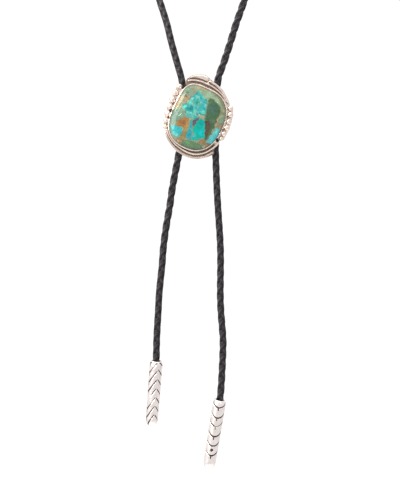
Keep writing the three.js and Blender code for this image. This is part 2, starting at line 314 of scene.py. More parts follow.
class Shader:
    """A new material and short ways to add and join its nodes."""

    def __init__(self, name, **settings):
        self.material = bpy.data.materials.new(name)
        self.material.use_nodes = True
        self.tree = self.material.node_tree
        self.surface = self.tree.nodes["Principled BSDF"]
        for key, value in settings.items():
            self.surface.inputs[key.replace("_", " ")].default_value = value
        place = self.tree.nodes.new("ShaderNodeTexCoord")
        self.place = self.node("ShaderNodeVectorMath", operation="SCALE", Scale=1 / MM)
        self.join(place.outputs["Object"], self.place.inputs[0])
        self.place = self.place.outputs[0]

    def node(self, kind, **settings):
        """A node whose settings are its own properties or its sockets' values."""
        made = self.tree.nodes.new(kind)
        for key, value in settings.items():
            if hasattr(made, key):
                setattr(made, key, value)
            else:
                made.inputs[key].default_value = value
        return made

    def join(self, source, target):
        """Links an output to an input."""
        self.tree.links.new(source, target)

    def noise(self, scale, detail=3.0, roughness=0.55, stretch=None):
        """Noise with scale blotches per millimetre."""
        made = self.node("ShaderNodeTexNoise", Scale=scale, Detail=detail, Roughness=roughness)
        source = self.place
        if stretch:
            mapping = self.node("ShaderNodeMapping", Scale=stretch)
            self.join(source, mapping.inputs["Vector"])
            source = mapping.outputs[0]
        self.join(source, made.inputs["Vector"])
        return made.outputs["Fac"]

    def cells(self, scale):
        """Distance to the nearest of scattered grains, with scale grains per millimetre."""
        made = self.node("ShaderNodeTexVoronoi", Scale=scale)
        self.join(self.place, made.inputs["Vector"])
        return made.outputs["Distance"]

    def attribute(self, name, output="Fac"):
        """A value that the mesh carries at its points."""
        return self.node("ShaderNodeAttribute", attribute_name=name).outputs[output]

    def ramp(self, source, low, high, to_low=0.0, to_high=1.0):
        """A smooth step from to_low to to_high while the source goes from low to high."""
        made = self.node("ShaderNodeMapRange", interpolation_type="SMOOTHSTEP")
        for index, value in enumerate((low, high, to_low, to_high), 1):
            made.inputs[index].default_value = value
        self.join(source, made.inputs[0])
        return made.outputs[0]

    def maths(self, operation, a, b):
        """Two numbers or outputs joined by an operation."""
        made = self.node("ShaderNodeMath", operation=operation)
        for index, value in enumerate((a, b)):
            if isinstance(value, (int, float)):
                made.inputs[index].default_value = value
            else:
                self.join(value, made.inputs[index])
        return made.outputs[0]

    def mix(self, factor, a, b):
        """Colour a where factor is 0 and b where it is 1; each is a colour or an output."""
        made = self.node("ShaderNodeMix", data_type="RGBA")
        for index, value in ((0, factor), (6, a), (7, b)):
            if isinstance(value, bpy.types.NodeSocket):
                self.join(value, made.inputs[index])
            else:
                made.inputs[index].default_value = value
        return made.outputs[2]

    def bump(self, layers):
        """Stacks (height, strength, distance in millimetres) bumps on the surface's normal."""
        normal = None
        for height, strength, distance in layers:
            made = self.node("ShaderNodeBump", Strength=strength, Distance=distance * MM)
            self.join(height, made.inputs["Height"])
            if normal is not None:
                self.join(normal, made.inputs["Normal"])
            normal = made.outputs[0]
        self.join(normal, self.surface.inputs["Normal"])

    def finish(self, colour, roughness):
        """Joins the colour and the roughness to the surface, and gives the material."""
        self.join(colour, self.surface.inputs["Base Color"])
        self.join(roughness, self.surface.inputs["Roughness"])
        return self.material


def srgb(code):
    """A colour written as six hex digits, as linear red, green, blue and alpha."""
    parts = [int(code[i:i + 2], 16) / 255 for i in (0, 2, 4)]
    return (*[c / 12.92 if c <= 0.04045 else ((c + 0.055) / 1.055) ** 2.4 for c in parts], 1.0)


def leather_material():
    """Black leather, with painted shade in the gaps between the laces and a painted highlight,
    grey in patches, on the lace crowns.
    """
    m = Shader("braided_leather", Specular_IOR_Level=0.29)
    tone = m.mix(m.ramp(m.noise(0.9), 0.3, 0.7), srgb("151215"), srgb("201c20"))
    # painted highlight: the lace crowns are lightened to grey in patches
    patchy_amount = m.maths("MULTIPLY", m.ramp(m.attribute("ridge"), 0.55, 1.0),
                   m.ramp(m.noise(2.4), 0.35, 0.75))
    tone = m.mix(patchy_amount, tone, srgb("645c68"))
    # painted shade: deep between the laces the leather goes near black
    tone = m.mix(m.ramp(m.attribute("hollow"), 0.2, 0.6), tone, srgb("080707"))
    roughness = m.ramp(m.noise(3.0), 0.3, 0.7, 0.36, 0.56)
    m.bump([(m.cells(4.5), 0.35, 0.06), (m.noise(9.0), 0.3, 0.03)])
    return m.finish(tone, roughness)


def silver_material(name, bright, dull, low_darkening, high_darkening):
    """Polished silver with dark tarnish and painted shade where the mesh's value is over 0, and
    black painted shade where it is 2.
    """
    m = Shader(name, Metallic=1.0)
    clean = m.mix(m.ramp(m.noise(0.35), 0.3, 0.7), srgb(bright), srgb(dull))
    stain = m.ramp(m.noise(1.6), 0.2, 0.8, -0.12, 0.12)
    dark = m.ramp(m.maths("ADD", m.attribute("patina"), stain), 0.25, 0.75)
    darkening = m.mix(m.ramp(m.noise(2.2), 0.3, 0.7), srgb(low_darkening), srgb(high_darkening))
    tone = m.mix(dark, clean, darkening)
    # black where the value nears 2: a pit's painted shade
    tone = m.mix(m.ramp(m.attribute("patina"), 1.0, 1.7), tone, srgb("1c1412"))
    shine = m.ramp(m.noise(1.1), 0.25, 0.75, 0.2, 0.34)
    roughness = m.maths("ADD", shine, m.maths("MULTIPLY", dark, 0.3))
    scratches = m.noise(1.0, detail=4.0, stretch=(9.0, 9.0, 0.9))
    m.bump([(m.noise(0.7), 0.1, 0.12), (scratches, 0.08, 0.02)])
    return m.finish(tone, roughness)


def clip_material():
    """Brushed plated steel."""
    m = Shader("clip_metal", Metallic=1.0)
    grain = m.noise(1.0, detail=5.0, stretch=(14.0, 14.0, 0.7))
    tone = m.mix(m.ramp(grain, 0.3, 0.7), srgb("b4b2af"), srgb("cfccc8"))
    tone = m.mix(m.ramp(m.noise(0.25), 0.55, 0.85), tone, srgb("938d86"))
    roughness = m.ramp(m.noise(0.8), 0.3, 0.7, 0.26, 0.42)
    m.bump([(grain, 0.25, 0.03)])
    return m.finish(tone, roughness)


def stone_material():
    """Polished composite: the chips' colours, with flecks, dark pits and matrix in the seams."""
    m = Shader("composite_turquoise", Coat_Weight=0.42, Coat_Roughness=0.03, Coat_IOR=1.5,
               Specular_IOR_Level=0.05)
    cloud = m.node("ShaderNodeHueSaturation", Saturation=1.04)
    m.join(m.attribute("chip", "Color"), cloud.inputs["Color"])
    m.join(m.ramp(m.noise(0.8, detail=5.0), 0.25, 0.75, 0.7, 0.98), cloud.inputs["Value"])
    mottle = m.attribute("mottle")
    fleck = m.maths("MULTIPLY", m.ramp(m.noise(1.7, detail=5.0, roughness=0.7), 0.56, 0.7), mottle)
    tone = m.mix(m.maths("MULTIPLY", fleck, 0.6), cloud.outputs[0], srgb("a6e2d2"))
    pit = m.maths("MULTIPLY", m.ramp(m.noise(1.2, detail=6.0, roughness=0.65), 0.58, 0.7),
                  m.ramp(mottle, 0.0, 1.0, 0.35, 1.0))
    tone = m.mix(m.maths("MULTIPLY", pit, 0.6), tone, srgb("1d5f55"))
    wander = m.ramp(m.noise(1.7, detail=4.0), 0.2, 0.8, -0.12, 0.12)
    line = m.ramp(m.maths("ADD", m.attribute("seam"), wander), 0.0, 0.2, 1.0, 0.0)
    kept = m.ramp(m.noise(0.5), 0.46, 0.6, 0.12, 0.8)
    vein = m.mix(m.ramp(m.noise(0.9), 0.42, 0.6), srgb("35382a"), srgb("8b764b"))
    tone = m.mix(m.maths("MULTIPLY", line, kept), tone, vein)
    roughness = m.ramp(m.noise(1.5), 0.3, 0.7, 0.16, 0.3)
    m.bump([(m.maths("MULTIPLY", line, -1.0), 0.2, 0.05), (m.noise(0.5), 0.05, 0.1)])
    return m.finish(tone, roughness)


LEATHER = leather_material()
SILVER = silver_material("sterling_silver", "f3e5dc", "e6d5ca", "776558", "9f8e83")
TIP_SILVER = silver_material("stamped_silver", "fcf6f5", "f4ebe8", "43373a", "6b5c59")
CLIP_METAL = clip_material()
TURQUOISE = stone_material()

# ---------------------------------------------------------------- braided cords

BRAID = {"lead": 14.2, "lace": 1.22, "wave": 0.26, "thick": 0.7, "core": 1.2, "proud": 0.24,
         "sides": 40, "step": 0.36, "facing": -28}


def braid_radius(theta, along):
    """Radius of a round braid of four laces, and how high each point is on its lace."""
    turned = TURN * along / BRAID["lead"]
    radius = np.full(np.broadcast(theta, along).shape, BRAID["core"])
    ridge = np.zeros_like(radius)
    middle = CORD_RADIUS + BRAID["proud"] - BRAID["wave"] - BRAID["thick"]
    for hand in (1, -1):
        for half in (0, np.pi):
            across = theta - hand * turned - half
            across = (np.angle(np.exp(1j * across))) / BRAID["lace"]
            crown = np.sqrt(np.clip(1 - across**4, 0, 1))
            top = middle + hand * BRAID["wave"] * np.cos(2 * theta) + BRAID["thick"] * crown
            top = np.where(np.abs(across) < 1, top, 0)
            ridge = np.where(top > radius, 1 - np.abs(across), ridge)
            radius = np.maximum(radius, top)
    return radius, ridge


def braided_cord(name, route, node, seed):
    """A braid along the route, whose lie on the cord wanders slowly."""
    line, along = evenly(smooth_curve(route), BRAID["step"])
    front, side = carried_frame(line, np.array([0.0, -1.0, 0.0]))
    theta = np.arange(BRAID["sides"]) * TURN / BRAID["sides"]
    twist = 0.5 * (patches(np.stack([along, along * 0], -1), 55, seed) - 0.5)
    facing = np.radians(BRAID["facing"])
    radius, ridge = braid_radius(theta[None, :] + twist[:, None] + facing,
                                 along[:, None] + seed * 1.7)
    turn = theta[None, :, None]
    ring = np.cos(turn) * front[:, None, :] + np.sin(turn) * side[:, None, :]
    points, faces = capped(line[:, None, :] + radius[..., None] * ring)
    # how deep each point lies between the laces, where the leather is darkened as painted shade
    deep = np.clip((CORD_RADIUS - radius) / (CORD_RADIUS - BRAID["core"]), 0, 1)
    cord = mesh_piece(name, points, faces,
                      hollow=np.append(deep.ravel(), [1, 1]),
                      ridge=np.append(ridge.ravel() * (1 - deep.ravel()), [0, 0]))
    return keep(cord, LEATHER, "braided_leather", node)


braided_cord("neck_loop_braid", LOOP_ROUTE, "neck_loop", 3)
left_end = braided_cord("cord_end_left_braid", LEFT_END_ROUTE, "cord_end_left", 1)
right_end = braided_cord("cord_end_right_braid", RIGHT_END_ROUTE, "cord_end_right", 2)

# ---------------------------------------------------------------- the slide's plane


def on_slide(points, lean=SLIDE["lean"]):
    """Points x right, y up and z out of the slide's plane, in the row frame."""
    p = np.asarray(points, float)
    c, s = np.cos(np.radians(lean)), np.sin(np.radians(lean))
    x, y, z = p[..., 0], p[..., 1], p[..., 2]
    return np.stack([SLIDE["x"] + x * c + y * s, SLIDE["y"] - z, SLIDE["z"] - x * s + y * c], -1)


def flat(points, height):
    """Points of the slide's plane, at a height above its back."""
    p = np.asarray(points, float)
    return np.concatenate([p, np.full((*p.shape[:-1], 1), height)], -1)


def outline(angle, offset=0.0):
    """The stone's outline at the angles, moved outwards by offset."""
    angle = np.asarray(angle, float)
    c, s = np.cos(angle), np.sin(angle)
    right = np.where(s >= 0, FULLNESS["top_right"], FULLNESS["bottom_right"])
    left = np.where(s >= 0, FULLNESS["top_left"], FULLNESS["bottom_left"])
    power = np.where(c >= 0, right, left)
    u = np.sign(c) * np.abs(c) ** (2 / power)
    v = np.sign(s) * np.abs(s) ** (2 / power)
    normal = unit(np.stack([np.sign(u) * np.abs(u) ** (power - 1) / STONE["half_width"],
                            np.sign(v) * np.abs(v) ** (power - 1) / STONE["half_height"]], -1))
    at = np.stack([STONE["half_width"] * u, STONE["half_height"] * v], -1)
    c, s = np.cos(np.radians(STONE["turn"])), np.sin(np.radians(STONE["turn"]))
    return (at + normal * np.asarray(offset)[..., None]) @ np.array([[c, s], [-s, c]])


def rim_angles(count):
    """Angles whose outline points are evenly spaced."""
    dense = np.linspace(-np.pi, np.pi, 20001)
    edge = outline(dense)
    along = np.concatenate([[0], np.cumsum(np.linalg.norm(np.diff(edge, axis=0), axis=1))])
    return np.interp(np.arange(count) * along[-1] / count, along, dense)


STONE_AT = np.array([STONE["x"], STONE["y"]])

# ---------------------------------------------------------------- the stone

# Chips of the composite, drawn in the slide's plane: colour, how mottled, outline
CHIPS = [
    ("80937f", 0.35,
     [(-15.5, 16.5), (-8, 17), (-6.2, 14.6), (-7.6, 11.6), (-9.2, 9.4), (-12.6, 9.2),
      (-15.6, 8.5)]),
    ("9d9876", 0.2,
     [(-7.5, 17.4), (-1, 18), (3, 17.4), (2.7, 15.5), (-0.7, 15.9), (-3.2, 14.6), (-6, 15)]),
    ("8da389", 0.3,
     [(-2.9, 15.5), (-0.7, 16), (2.7, 15.6), (6, 14.2), (9.3, 12.1), (12.2, 9.6), (11.4, 8.3),
      (8.5, 10.2), (5.2, 12.2), (2.7, 12.2), (1, 11.3), (-1.5, 13.3)]),
    ("8b8f6e", 0.2,
     [(2.9, 17.4), (8.6, 15.6), (13, 11), (15.2, 6), (12.4, 6.2), (12.4, 9.4), (9.4, 12.4),
      (6.2, 14.4), (2.9, 15.7)]),
    ("8aa68c", 0.4,
     [(11.6, 5.6), (15.6, 6), (15.8, 0), (14.6, -0.8), (12, -0.4), (11.5, 2.8)]),
    ("998b75", 0.1,
     [(13, -0.4), (15.8, -0.2), (15.6, -4), (14, -4.4), (12.6, -3.2)]),
    ("708c78", 0.4,
     [(-15.8, 0.6), (-12, 0.6), (-8.4, -0.2), (-7.4, -2.2), (-9.4, -4.8), (-11.6, -8.4),
      (-13.4, -10.2), (-15.8, -9)]),
    ("956f47", 0.15,
     [(-11.8, -8.2), (-9.4, -4.9), (-7.75, -3.2), (-5.7, -3.6), (-4.6, -5.7), (-4.2, -8.7),
      (-4.6, -10.3), (-5.7, -11), (-6.5, -9.6), (-9, -9.5), (-11, -9.9)]),
    ("85794f", 0.25,
     [(-6.4, -10.4), (-4.4, -9.6), (-3.7, -12.8), (-3.4, -15.4), (-4.6, -17.2), (-6.6, -15.2)]),
    ("9b8562", 0.1,
     [(-6.9, -15.4), (-4.2, -14.8), (-3.6, -16.4), (-4.8, -18.6), (-7.6, -19.4), (-8.2, -17)]),
    ("3fa8ab", 0.35,
     [(-14.2, -10.6), (-11.9, -9.9), (-7.3, -9.8), (-6.7, -12), (-6.7, -14.9), (-7.75, -16.4),
      (-9.8, -16), (-12.2, -14.9), (-13.8, -12.6)]),
    ("3a9e97", 1.0,
     [(-4.4, 14.3), (-1.9, 12.6), (0.2, 11.3), (1.8, 10.1), (2.7, 7.2), (3.3, 3.8), (3.1, 1.3),
      (1, 0.5), (-0.25, -0.3), (-0.7, -2), (-2.3, -3.9), (-3.6, -2.8), (-5.7, -3), (-7.3, -2),
      (-8.2, 0.1), (-11.5, 0.9), (-11.9, 3), (-10.25, 4.9), (-8.8, 7.2), (-8.2, 9.7),
      (-6.1, 11.75), (-5.7, 13.8)]),
    ("48694c", 0.2,
     [(2.7, 12.2), (5.2, 12.2), (8.5, 10.1), (10.9, 8.3), (11.3, 5.5), (10.9, 3), (11.4, -0.3),
      (11, -2.8), (10.6, -4.9), (10, -7.8), (9.3, -11.6), (8.3, -12.8), (7.5, -10.75),
      (6.2, -6.6), (4.75, -2.4), (3.5, -0.75), (3.5, 3), (3.1, 7.2), (2.5, 10.1)]),
    ("554c3e", 0.1,
     [(4.7, -1.4), (6.6, -0.6), (8.6, -3.4), (9, -7), (8.2, -10.8), (7.4, -10.6), (6.2, -6.6)]),
    ("3a9aa0", 0.45,
     [(-4, -4.1), (-2.3, -4.3), (-1.9, -6.6), (-1.3, -9.5), (0, -13.7), (0.2, -15.3),
      (-3.2, -15.3), (-3.6, -12.8), (-3.4, -9.5), (-3.8, -7.4)]),
    ("5c5a66", 0.1,
     [(-2.4, -4), (-0.7, -2), (0.6, -0.6), (0.9, -1.4), (-0.4, -4.9), (-1, -7.4), (-1.9, -6.4)]),
    ("00ada4", 0.0,
     [(1, -1.2), (4.3, -1.2), (5.2, -3.7), (7, -9.5), (7.5, -11.4), (4.75, -13), (2.7, -15.1),
      (0.6, -15.1), (0, -12), (-0.9, -7.8), (-0.25, -4.9)]),
    ("617e60", 0.35,
     [(-4.4, -17), (-2.3, -15.7), (3, -15.9), (9.3, -15.9), (11.4, -16.4), (9.3, -19),
      (5.2, -20.6), (-0.7, -21), (-4.6, -20)]),
    ("8f7a5c", 0.3,
     [(4.9, -13.6), (7.6, -12.2), (9.4, -13.4), (12, -13.6), (11.4, -16), (8, -15.6),
      (4.2, -15.6)]),
    ("66cccf", 0.3,
     [(12.3, -3.2), (14.4, -3.6), (15.2, -6.6), (14.2, -9.5), (12, -13.4), (9, -13.8),
      (9.8, -10.75), (10.8, -7.8), (11.4, -5.3)]),
    ("9c8a6c", 0.1,
     [(-12.4, 8.9), (-9.8, 8.9), (-9.4, 7.2), (-10.2, 5.4), (-11.6, 5), (-12.2, 6.8)]),
]

GRAIN_COLOURS = ("63b5ae", "4b9a8a", "2fa39e", "7cc4b2", "56aaa4", "8acdbc", "2a94a6", "6fae90")

# Round marks on the chips, and a painted reflection at the right edge: x, y, radius and colour
MARKS_AND_REFLECTION = [
    (-4.7, 12.1, 1.1, "559ca6"), (-3.8, 14, 0.5, "8fdcd6"), (-5.9, 2.6, 1.7, "007c82"),
    (-3.3, 8.2, 1.2, "3f9580"), (-1.4, 9.8, 1.3, "3a9a94"), (0.1, 4.2, 1.2, "379ea8"),
    (-9.6, 2.8, 1.1, "7fdcc0"), (-5.2, 0.3, 0.8, "7fd0c2"), (-7.2, 5.9, 1.1, "6fd0c2"),
    (-6.2, -1.6, 1.2, "429a9c"), (1.9, 2.6, 1.1, "74ccb4"), (-1.1, 6.4, 1.2, "3d8f7c"),
    (-3, -2.4, 1, "62ab90"), (-1.3, 0.6, 0.85, "5b3a30"), (0, 0.5, 0.5, "e6dfc6"),
    (-8.1, 9.1, 0.8, "46708e"), (-11.2, 8.7, 0.8, "7a5436"), (1.4, 14.3, 1.2, "8db394"),
    (6.4, 6.6, 3.4, "466458"), (5.4, -1.9, 0.7, "5e2f28"), (3, -3.6, 1.8, "009a92"),
    (0.9, -7.2, 1.3, "10ae92"), (4.9, -9.4, 1.6, "00b9bb"), (6.4, -10.6, 0.8, "10b59a"),
    (2.6, -13.4, 1.2, "4aa98f"), (1, -11.9, 1.1, "5cb3b0"), (-7.4, -12.9, 1.1, "3d9dac"),
    (-11, -14.2, 1.2, "78c2c0"), (-9, -15, 0.9, "76c2b8"), (-12.4, -11.9, 1, "82d2d4"),
    (-4.9, -8.2, 0.7, "c29a52"), (-7.2, -7, 1.3, "855a33"), (-2.2, -12.8, 1.1, "2694b6"),
    (-1.6, -17.2, 1.2, "639a68"), (6.5, -14.7, 0.7, "b98a60"), (10, -15, 0.6, "c09a72"),
    (-6.7, -18.2, 0.9, "c9a392"), (14.2, -2.1, 0.7, "c09468"), (-12.3, 12.9, 1.3, "7f9f86"),
    (-8.6, 14.6, 1.2, "8a8166"), (-11, 11, 1, "66745a"), (13.2, -5.6, 0.9, "7fd6cc"),
    (9.2, -0.4, 1.3, "5b6a60"), (-2, -9, 0.9, "35a6a8"), (-9.2, 6, 0.7, "93ae98"),
    # the first on the next line, at 13.2, 8, is a painted reflection at the stone's right edge
    (13.2, 8, 1.2, "b0aa90"), (8.8, -16.6, 1, "c0bba0"), (12.5, 2, 0.8, "747b62"),
]

# Lines of matrix that cross the chips, and a painted reflection of the left light along the left
# edge: half width, colour and points
VEINS_AND_REFLECTION = [
    (0.36, "c2a678", [(13.2, 5), (12.2, 4), (11.1, 3), (11.3, 1), (11.2, -2)]),
    (0.3, "a98d4e", [(-5.2, -5.4), (-4.8, -7.4), (-5.1, -9.4), (-4.9, -11.6)]),
    (0.22, "1c9a8a", [(1.4, -1.6), (1.7, -5), (2.3, -9.4), (3.2, -13.2)]),
    (0.2, "1fae9e", [(3.3, -3), (4.4, -7.2), (6, -11)]),
    (0.25, "5c4436", [(4.4, -1.4), (5.6, -3.6), (6.4, -6.6), (7.7, -11)]),
    (0.3, "a9896a", [(-10.6, 4.6), (-9.2, 6.9), (-8.7, 9.2)]),
    # a painted reflection of the left light, warm along the stone's left edge
    (0.9, "b89c78", [(-14.6, 7), (-15, 4), (-15.2, 0.5)]),
]


def to_polygon(xy, polygon):
    """Distance from each point to the polygon's edge, less than 0 inside it."""
    a = np.array(polygon, float)
    b = np.roll(a, -1, axis=0)
    nearest = np.full(len(xy), 1e9)
    inside = np.zeros(len(xy), bool)
    for (ax, ay), (bx, by) in zip(a, b):
        nearest = np.minimum(nearest, to_segment(xy, (ax, ay), (bx, by)))
        crosses = (ay > xy[:, 1]) != (by > xy[:, 1])
        at = ax + (xy[:, 1] - ay) * (bx - ax) / np.where(by == ay, 1e-9, by - ay)
        inside ^= crosses & (xy[:, 0] < at)
    return np.where(inside, -nearest, nearest)


def to_segment(xy, a, b):
    """Distance from each point to the line from a to b."""
    a, b = np.array(a, float), np.array(b, float)
    t = np.clip(((xy - a) @ (b - a)) / ((b - a) @ (b - a)), 0, 1)
    return np.linalg.norm(xy - a - t[:, None] * (b - a), axis=1)


def grains(xy):
    """Colours of the small angular grains that the mottled chip is pressed from."""
    rng = np.random.default_rng(5)
    seeds = rng.uniform((-13, -5), (5, 16), (170, 2))
    shades = np.array([srgb(code) for code in GRAIN_COLOURS])
    nearest, found = np.full(len(xy), 1e9), np.zeros((len(xy), 4))
    for index, seed in enumerate(seeds):
        gap = np.hypot(xy[:, 0] - seed[0], 0.8 * (xy[:, 1] - seed[1]))
        found[gap < nearest] = shades[index % len(shades)]
        nearest = np.minimum(nearest, gap)
    return found


def painted(colour, share, code):
    """The colours moved towards another by each point's share."""
    return colour + (np.array(srgb(code)) - colour) * np.asarray(share)[:, None]


def composite(xy):
    """Colour, mottling and distance to the nearest seam, at points of the slide's plane."""
    # the chips' edges wander
    shift = np.stack([patches(xy, 1.3, s) + 0.45 * patches(xy, 0.5, s + 1) for s in (11, 21)], -1)
    bent = xy + 0.85 * (shift - 0.72)
    colour = painted(np.tile(srgb("7f8b70"), (len(xy), 1)), patches(xy, 2.3, 31), "989777")
    mottle = np.full(len(xy), 0.3)
    seam = np.full(len(xy), 9.0)
    for code, mottled, polygon in CHIPS:
        reach = to_polygon(bent, polygon)
        share = step_between(0.35, -0.35, reach)
        colour = painted(colour, share, code)
        mottle += (mottled - mottle) * share
        seam = np.where(reach < 0, -reach, np.minimum(seam, reach))
    # the mottled chip is pressed from grains, and is deeper or paler in patches
    share = step_between(0.4, 1.0, mottle)
    colour += (grains(bent) - colour) * 0.5 * share[:, None]
    mood = patches(bent, 1.7, 41)
    colour = painted(colour, 0.75 * share * step_between(0.45, 0.85, mood), "0b7f88")
    colour = painted(colour, 0.5 * share * step_between(0.45, 0.1, mood), "86bda9")
    # marks on the chips, and one painted reflection
    for x, y, radius, code in MARKS_AND_REFLECTION:
        gap = np.linalg.norm(bent - (x, y), axis=1)
        colour = painted(colour, 0.8 * step_between(1.3 * radius, 0.5 * radius, gap), code)
    # veins of matrix, and the painted reflection along the left edge
    for width, code, points in VEINS_AND_REFLECTION:
        gap = np.min([to_segment(bent, a, b) for a, b in zip(points, points[1:])], axis=0)
        colour = painted(colour, 0.85 * step_between(1.5 * width, 0.4 * width, gap), code)
    colour[:, :3] *= 1 + 0.3 * (patches(bent, 3.1, 43)[:, None] - 0.5)
    return np.clip(colour, 0, 1), mottle, seam


def stone():
    """The domed cabochon, closed below, with its chips painted on its points and painted shade
    round its rim.
    """
    angles = rim_angles(480)
    rise = np.linspace(0, np.pi / 2, 141)[:-1]
    edge = outline(angles)
    height = STONE_GIRDLE + (STONE_TOP - STONE_GIRDLE) * np.sin(rise)
    domed = [flat(STONE_AT + edge * np.cos(r), h) for r, h in zip(rise, height)]
    below = [flat(STONE_AT + edge * share, h)
             for share, h in ((0.97, STONE_BASE), (1.0, STONE_BASE + 0.25), (1.0, 2.4))]
    rings = np.array(below + domed)
    points, faces = capped(rings, ([*STONE_AT, STONE_BASE], [*STONE_AT, STONE_TOP]))
    colour, mottle, seam = composite(points[:, :2])
    shares = np.concatenate([[0.97, 1, 1], np.cos(rise)])
    rim = np.append(np.repeat(step_between(0.93, 1.0, shares), len(angles)), [1, 0])
    # painted shade and reflection of the bezel: the colour darkens towards the stone's rim
    colour[:, :3] *= 1 - 0.2 * rim[:, None]
    return mesh_piece("stone_cabochon", on_slide(points), faces,
                      chip=colour, mottle=mottle, seam=seam)


keep(stone(), TURQUOISE, "turquoise", "slide_stone")

# ---------------------------------------------------------------- the silver setting


def soot_by_height(height, clean_above, span=0.5):
    """Dark where a surface is low beside the plate, clean above the given height."""
    return 1 - step_between(clean_above - span, clean_above, height)


def outermost(polygons, centre, count):
    """Even directions from centre, and how far off the polygons' furthest edge is in each."""
    angle = np.arange(count) * TURN / count
    ray = np.stack([np.cos(angle), np.sin(angle)], -1)
    reach = np.zeros(count)
    for polygon in polygons:
        a = np.asarray(polygon, float) - centre
        for p, q in zip(a, np.roll(a, -1, axis=0)):
            d = q - p
            cross = ray[:, 0] * d[1] - ray[:, 1] * d[0]
            cross = np.where(np.abs(cross) < 1e-9, 1e-9, cross)
            t = (p[0] * d[1] - p[1] * d[0]) / cross
            u = (p[0] * ray[:, 1] - p[1] * ray[:, 0]) / cross
            reach = np.where((t > 0) & (u >= 0) & (u <= 1), np.maximum(reach, t), reach)
    return angle, reach


def strip_polygon(beads):
    """The strip of plate under a row of beads."""
    line, _ = evenly(smooth_curve([(x, y) for x, y, _ in beads]), 0.5)
    along = unit(np.gradient(line, axis=0))
    side = np.stack([along[:, 1], -along[:, 0]], -1) * BEAD_STRIP_WIDTH / 2
    return np.vstack([line + side, (line - side)[::-1]])


def back_plate():
    """The plate under the bezel, crescents and beads, with soft edges, tarnish in its corners and
    a pit's painted shade.
    """
    rim = STONE_AT + outline(rim_angles(360), BEZEL_OUT)
    crescents = [np.vstack([smooth_curve(edge, 8), inside]) for edge, inside in CRESCENT_PLATES]
    angle, reach = outermost([rim, *crescents, strip_polygon(BEADS_LEFT),
                              strip_polygon(BEADS_RIGHT)], STONE_AT, 1080)
    ray = np.stack([np.cos(angle), np.sin(angle)], -1)
    # how far each ring lies inside the plate's edge, and how high
    profile = [(0.35, 0), (0.12, 0), (0.03, 0.05), (0, 0.15), (0, 0.8), (0.04, 0.93)]
    profile += [(inset, PLATE) for inset in (0.14, 0.4, *np.arange(0.8, 4.5, 0.4), 12)]
    rings = np.array([flat(STONE_AT + ray * (reach - inset)[:, None], h) for inset, h in profile])
    points, faces = capped(rings)
    # tarnish beside the crescents, and the darkest places, among them a pit painted black as shade
    darkening = np.maximum(beside_crescents(points), darkest_places(points))
    darkening *= step_between(0.9 * PLATE, PLATE, points[:, 2])
    from_joint = np.hypot(points[:, 0] - LOBE_JOINT[0], points[:, 1] - LOBE_JOINT[1])
    darkening *= step_between(0.7, 1.4, from_joint)
    return mesh_piece("setting_plate", on_slide(points), faces, patina=darkening)


def beside_crescents(points):
    """1 where the crescents run round the stone, 0 beside the beads. Angles are in degrees."""
    turn = np.degrees(np.arctan2(points[..., 1] - STONE_AT[1], points[..., 0] - STONE_AT[0]))
    top = step_between(52, 62, turn) * step_between(136, 130, turn)
    return top + step_between(-147, -140, turn) * step_between(-34, -40, turn)


def darkest_places(points):
    """The darkness of the darkest places round the setting, 0 elsewhere."""
    darkening = np.zeros(points.shape[:-1])
    for x, y, radius, darkness in DARK_SPOTS:
        gap = np.hypot(points[..., 0] - x, points[..., 1] - y)
        darkening = np.maximum(darkening, darkness * step_between(1.4 * radius, 0.6 * radius, gap))
    return darkening


def bezel():
    """The wall round the stone, rolled over its edge and burnished a little unevenly."""
    angles = rim_angles(420)
    wobble = patches(np.stack([np.cos(angles), np.sin(angles)], -1) * 12, 2.2, 51) - 0.5
    # how far each ring lies outside the stone's outline, and how high
    profile = [(1.06, 0.9), (1.1, 1.1), (1.1, 2.5), (1.04, 2.95), (0.88, 3.3), (0.64, 3.5),
               (0.38, 3.55), (0.14, 3.47), (0.0, 3.3), (-0.02, 3.15), (0.12, 2.9), (0.15, 0.9)]
    rings = np.array([flat(STONE_AT + outline(angles, out + 0.06 * wobble), h)
                      for out, h in profile])
    lip, outside = slice(3, 10), np.arange(len(profile)) < 9
    rings[lip, :, 2] += 0.12 * wobble
    faces = grid_faces(len(profile), len(angles), close_rows=True)
    crescent = beside_crescents(rings)
    darkening = (1 - crescent) * np.maximum(0.3, soot_by_height(rings[..., 2], 2.0, 0.8))
    darkening += crescent * np.maximum(0.36, soot_by_height(rings[..., 2], 3.5, 0.4))
    darkening = np.maximum(darkening, darkest_places(rings)) * outside[:, None]
    return mesh_piece("bezel", on_slide(rings), faces, patina=darkening.ravel())


WIRE = {"radius": 0.68, "rise": 0.47, "sides": 20, "step": 0.22}


def wire(name, route, tarnish, seed):
    """A round wire soldered on the plate, a little uneven, with rounded ends."""
    line, along = evenly(smooth_curve(route), WIRE["step"])
    tangent = unit(np.gradient(line, axis=0))
    side = np.stack([tangent[:, 1], -tangent[:, 0]], -1)
    ends = np.minimum(along, along[-1] - along) / WIRE["radius"]
    taper = np.sqrt(np.clip(1 - (1 - np.clip(ends, 0.02, 1)) ** 2, 0, 1))
    wobble = patches(np.stack([along, along * 0], -1), 2.8, seed + 61) - 0.5
    line = line + side * (0.14 * wobble)[:, None]
    wide = WIRE["radius"] * (1 + 0.16 * wobble) * taper
    tall = (WIRE["radius"] + 0.05 * wobble) * taper
    middle = PLATE + WIRE["rise"]
    section = np.arange(WIRE["sides"]) * TURN / WIRE["sides"]
    c, s = np.cos(section), np.sin(section)
    rings = np.empty((len(line), WIRE["sides"], 3))
    rings[..., :2] = line[:, None, :] + side[:, None, :] * (wide[:, None, None] * c[None, :, None])
    rings[..., 2] = middle + tall[:, None] * s[None, :]
    points, faces = capped(rings)
    darkening = np.maximum(tarnish, soot_by_height(points[:, 2], middle + 0.42, 0.5))
    return mesh_piece(name, on_slide(points), faces, patina=darkening)


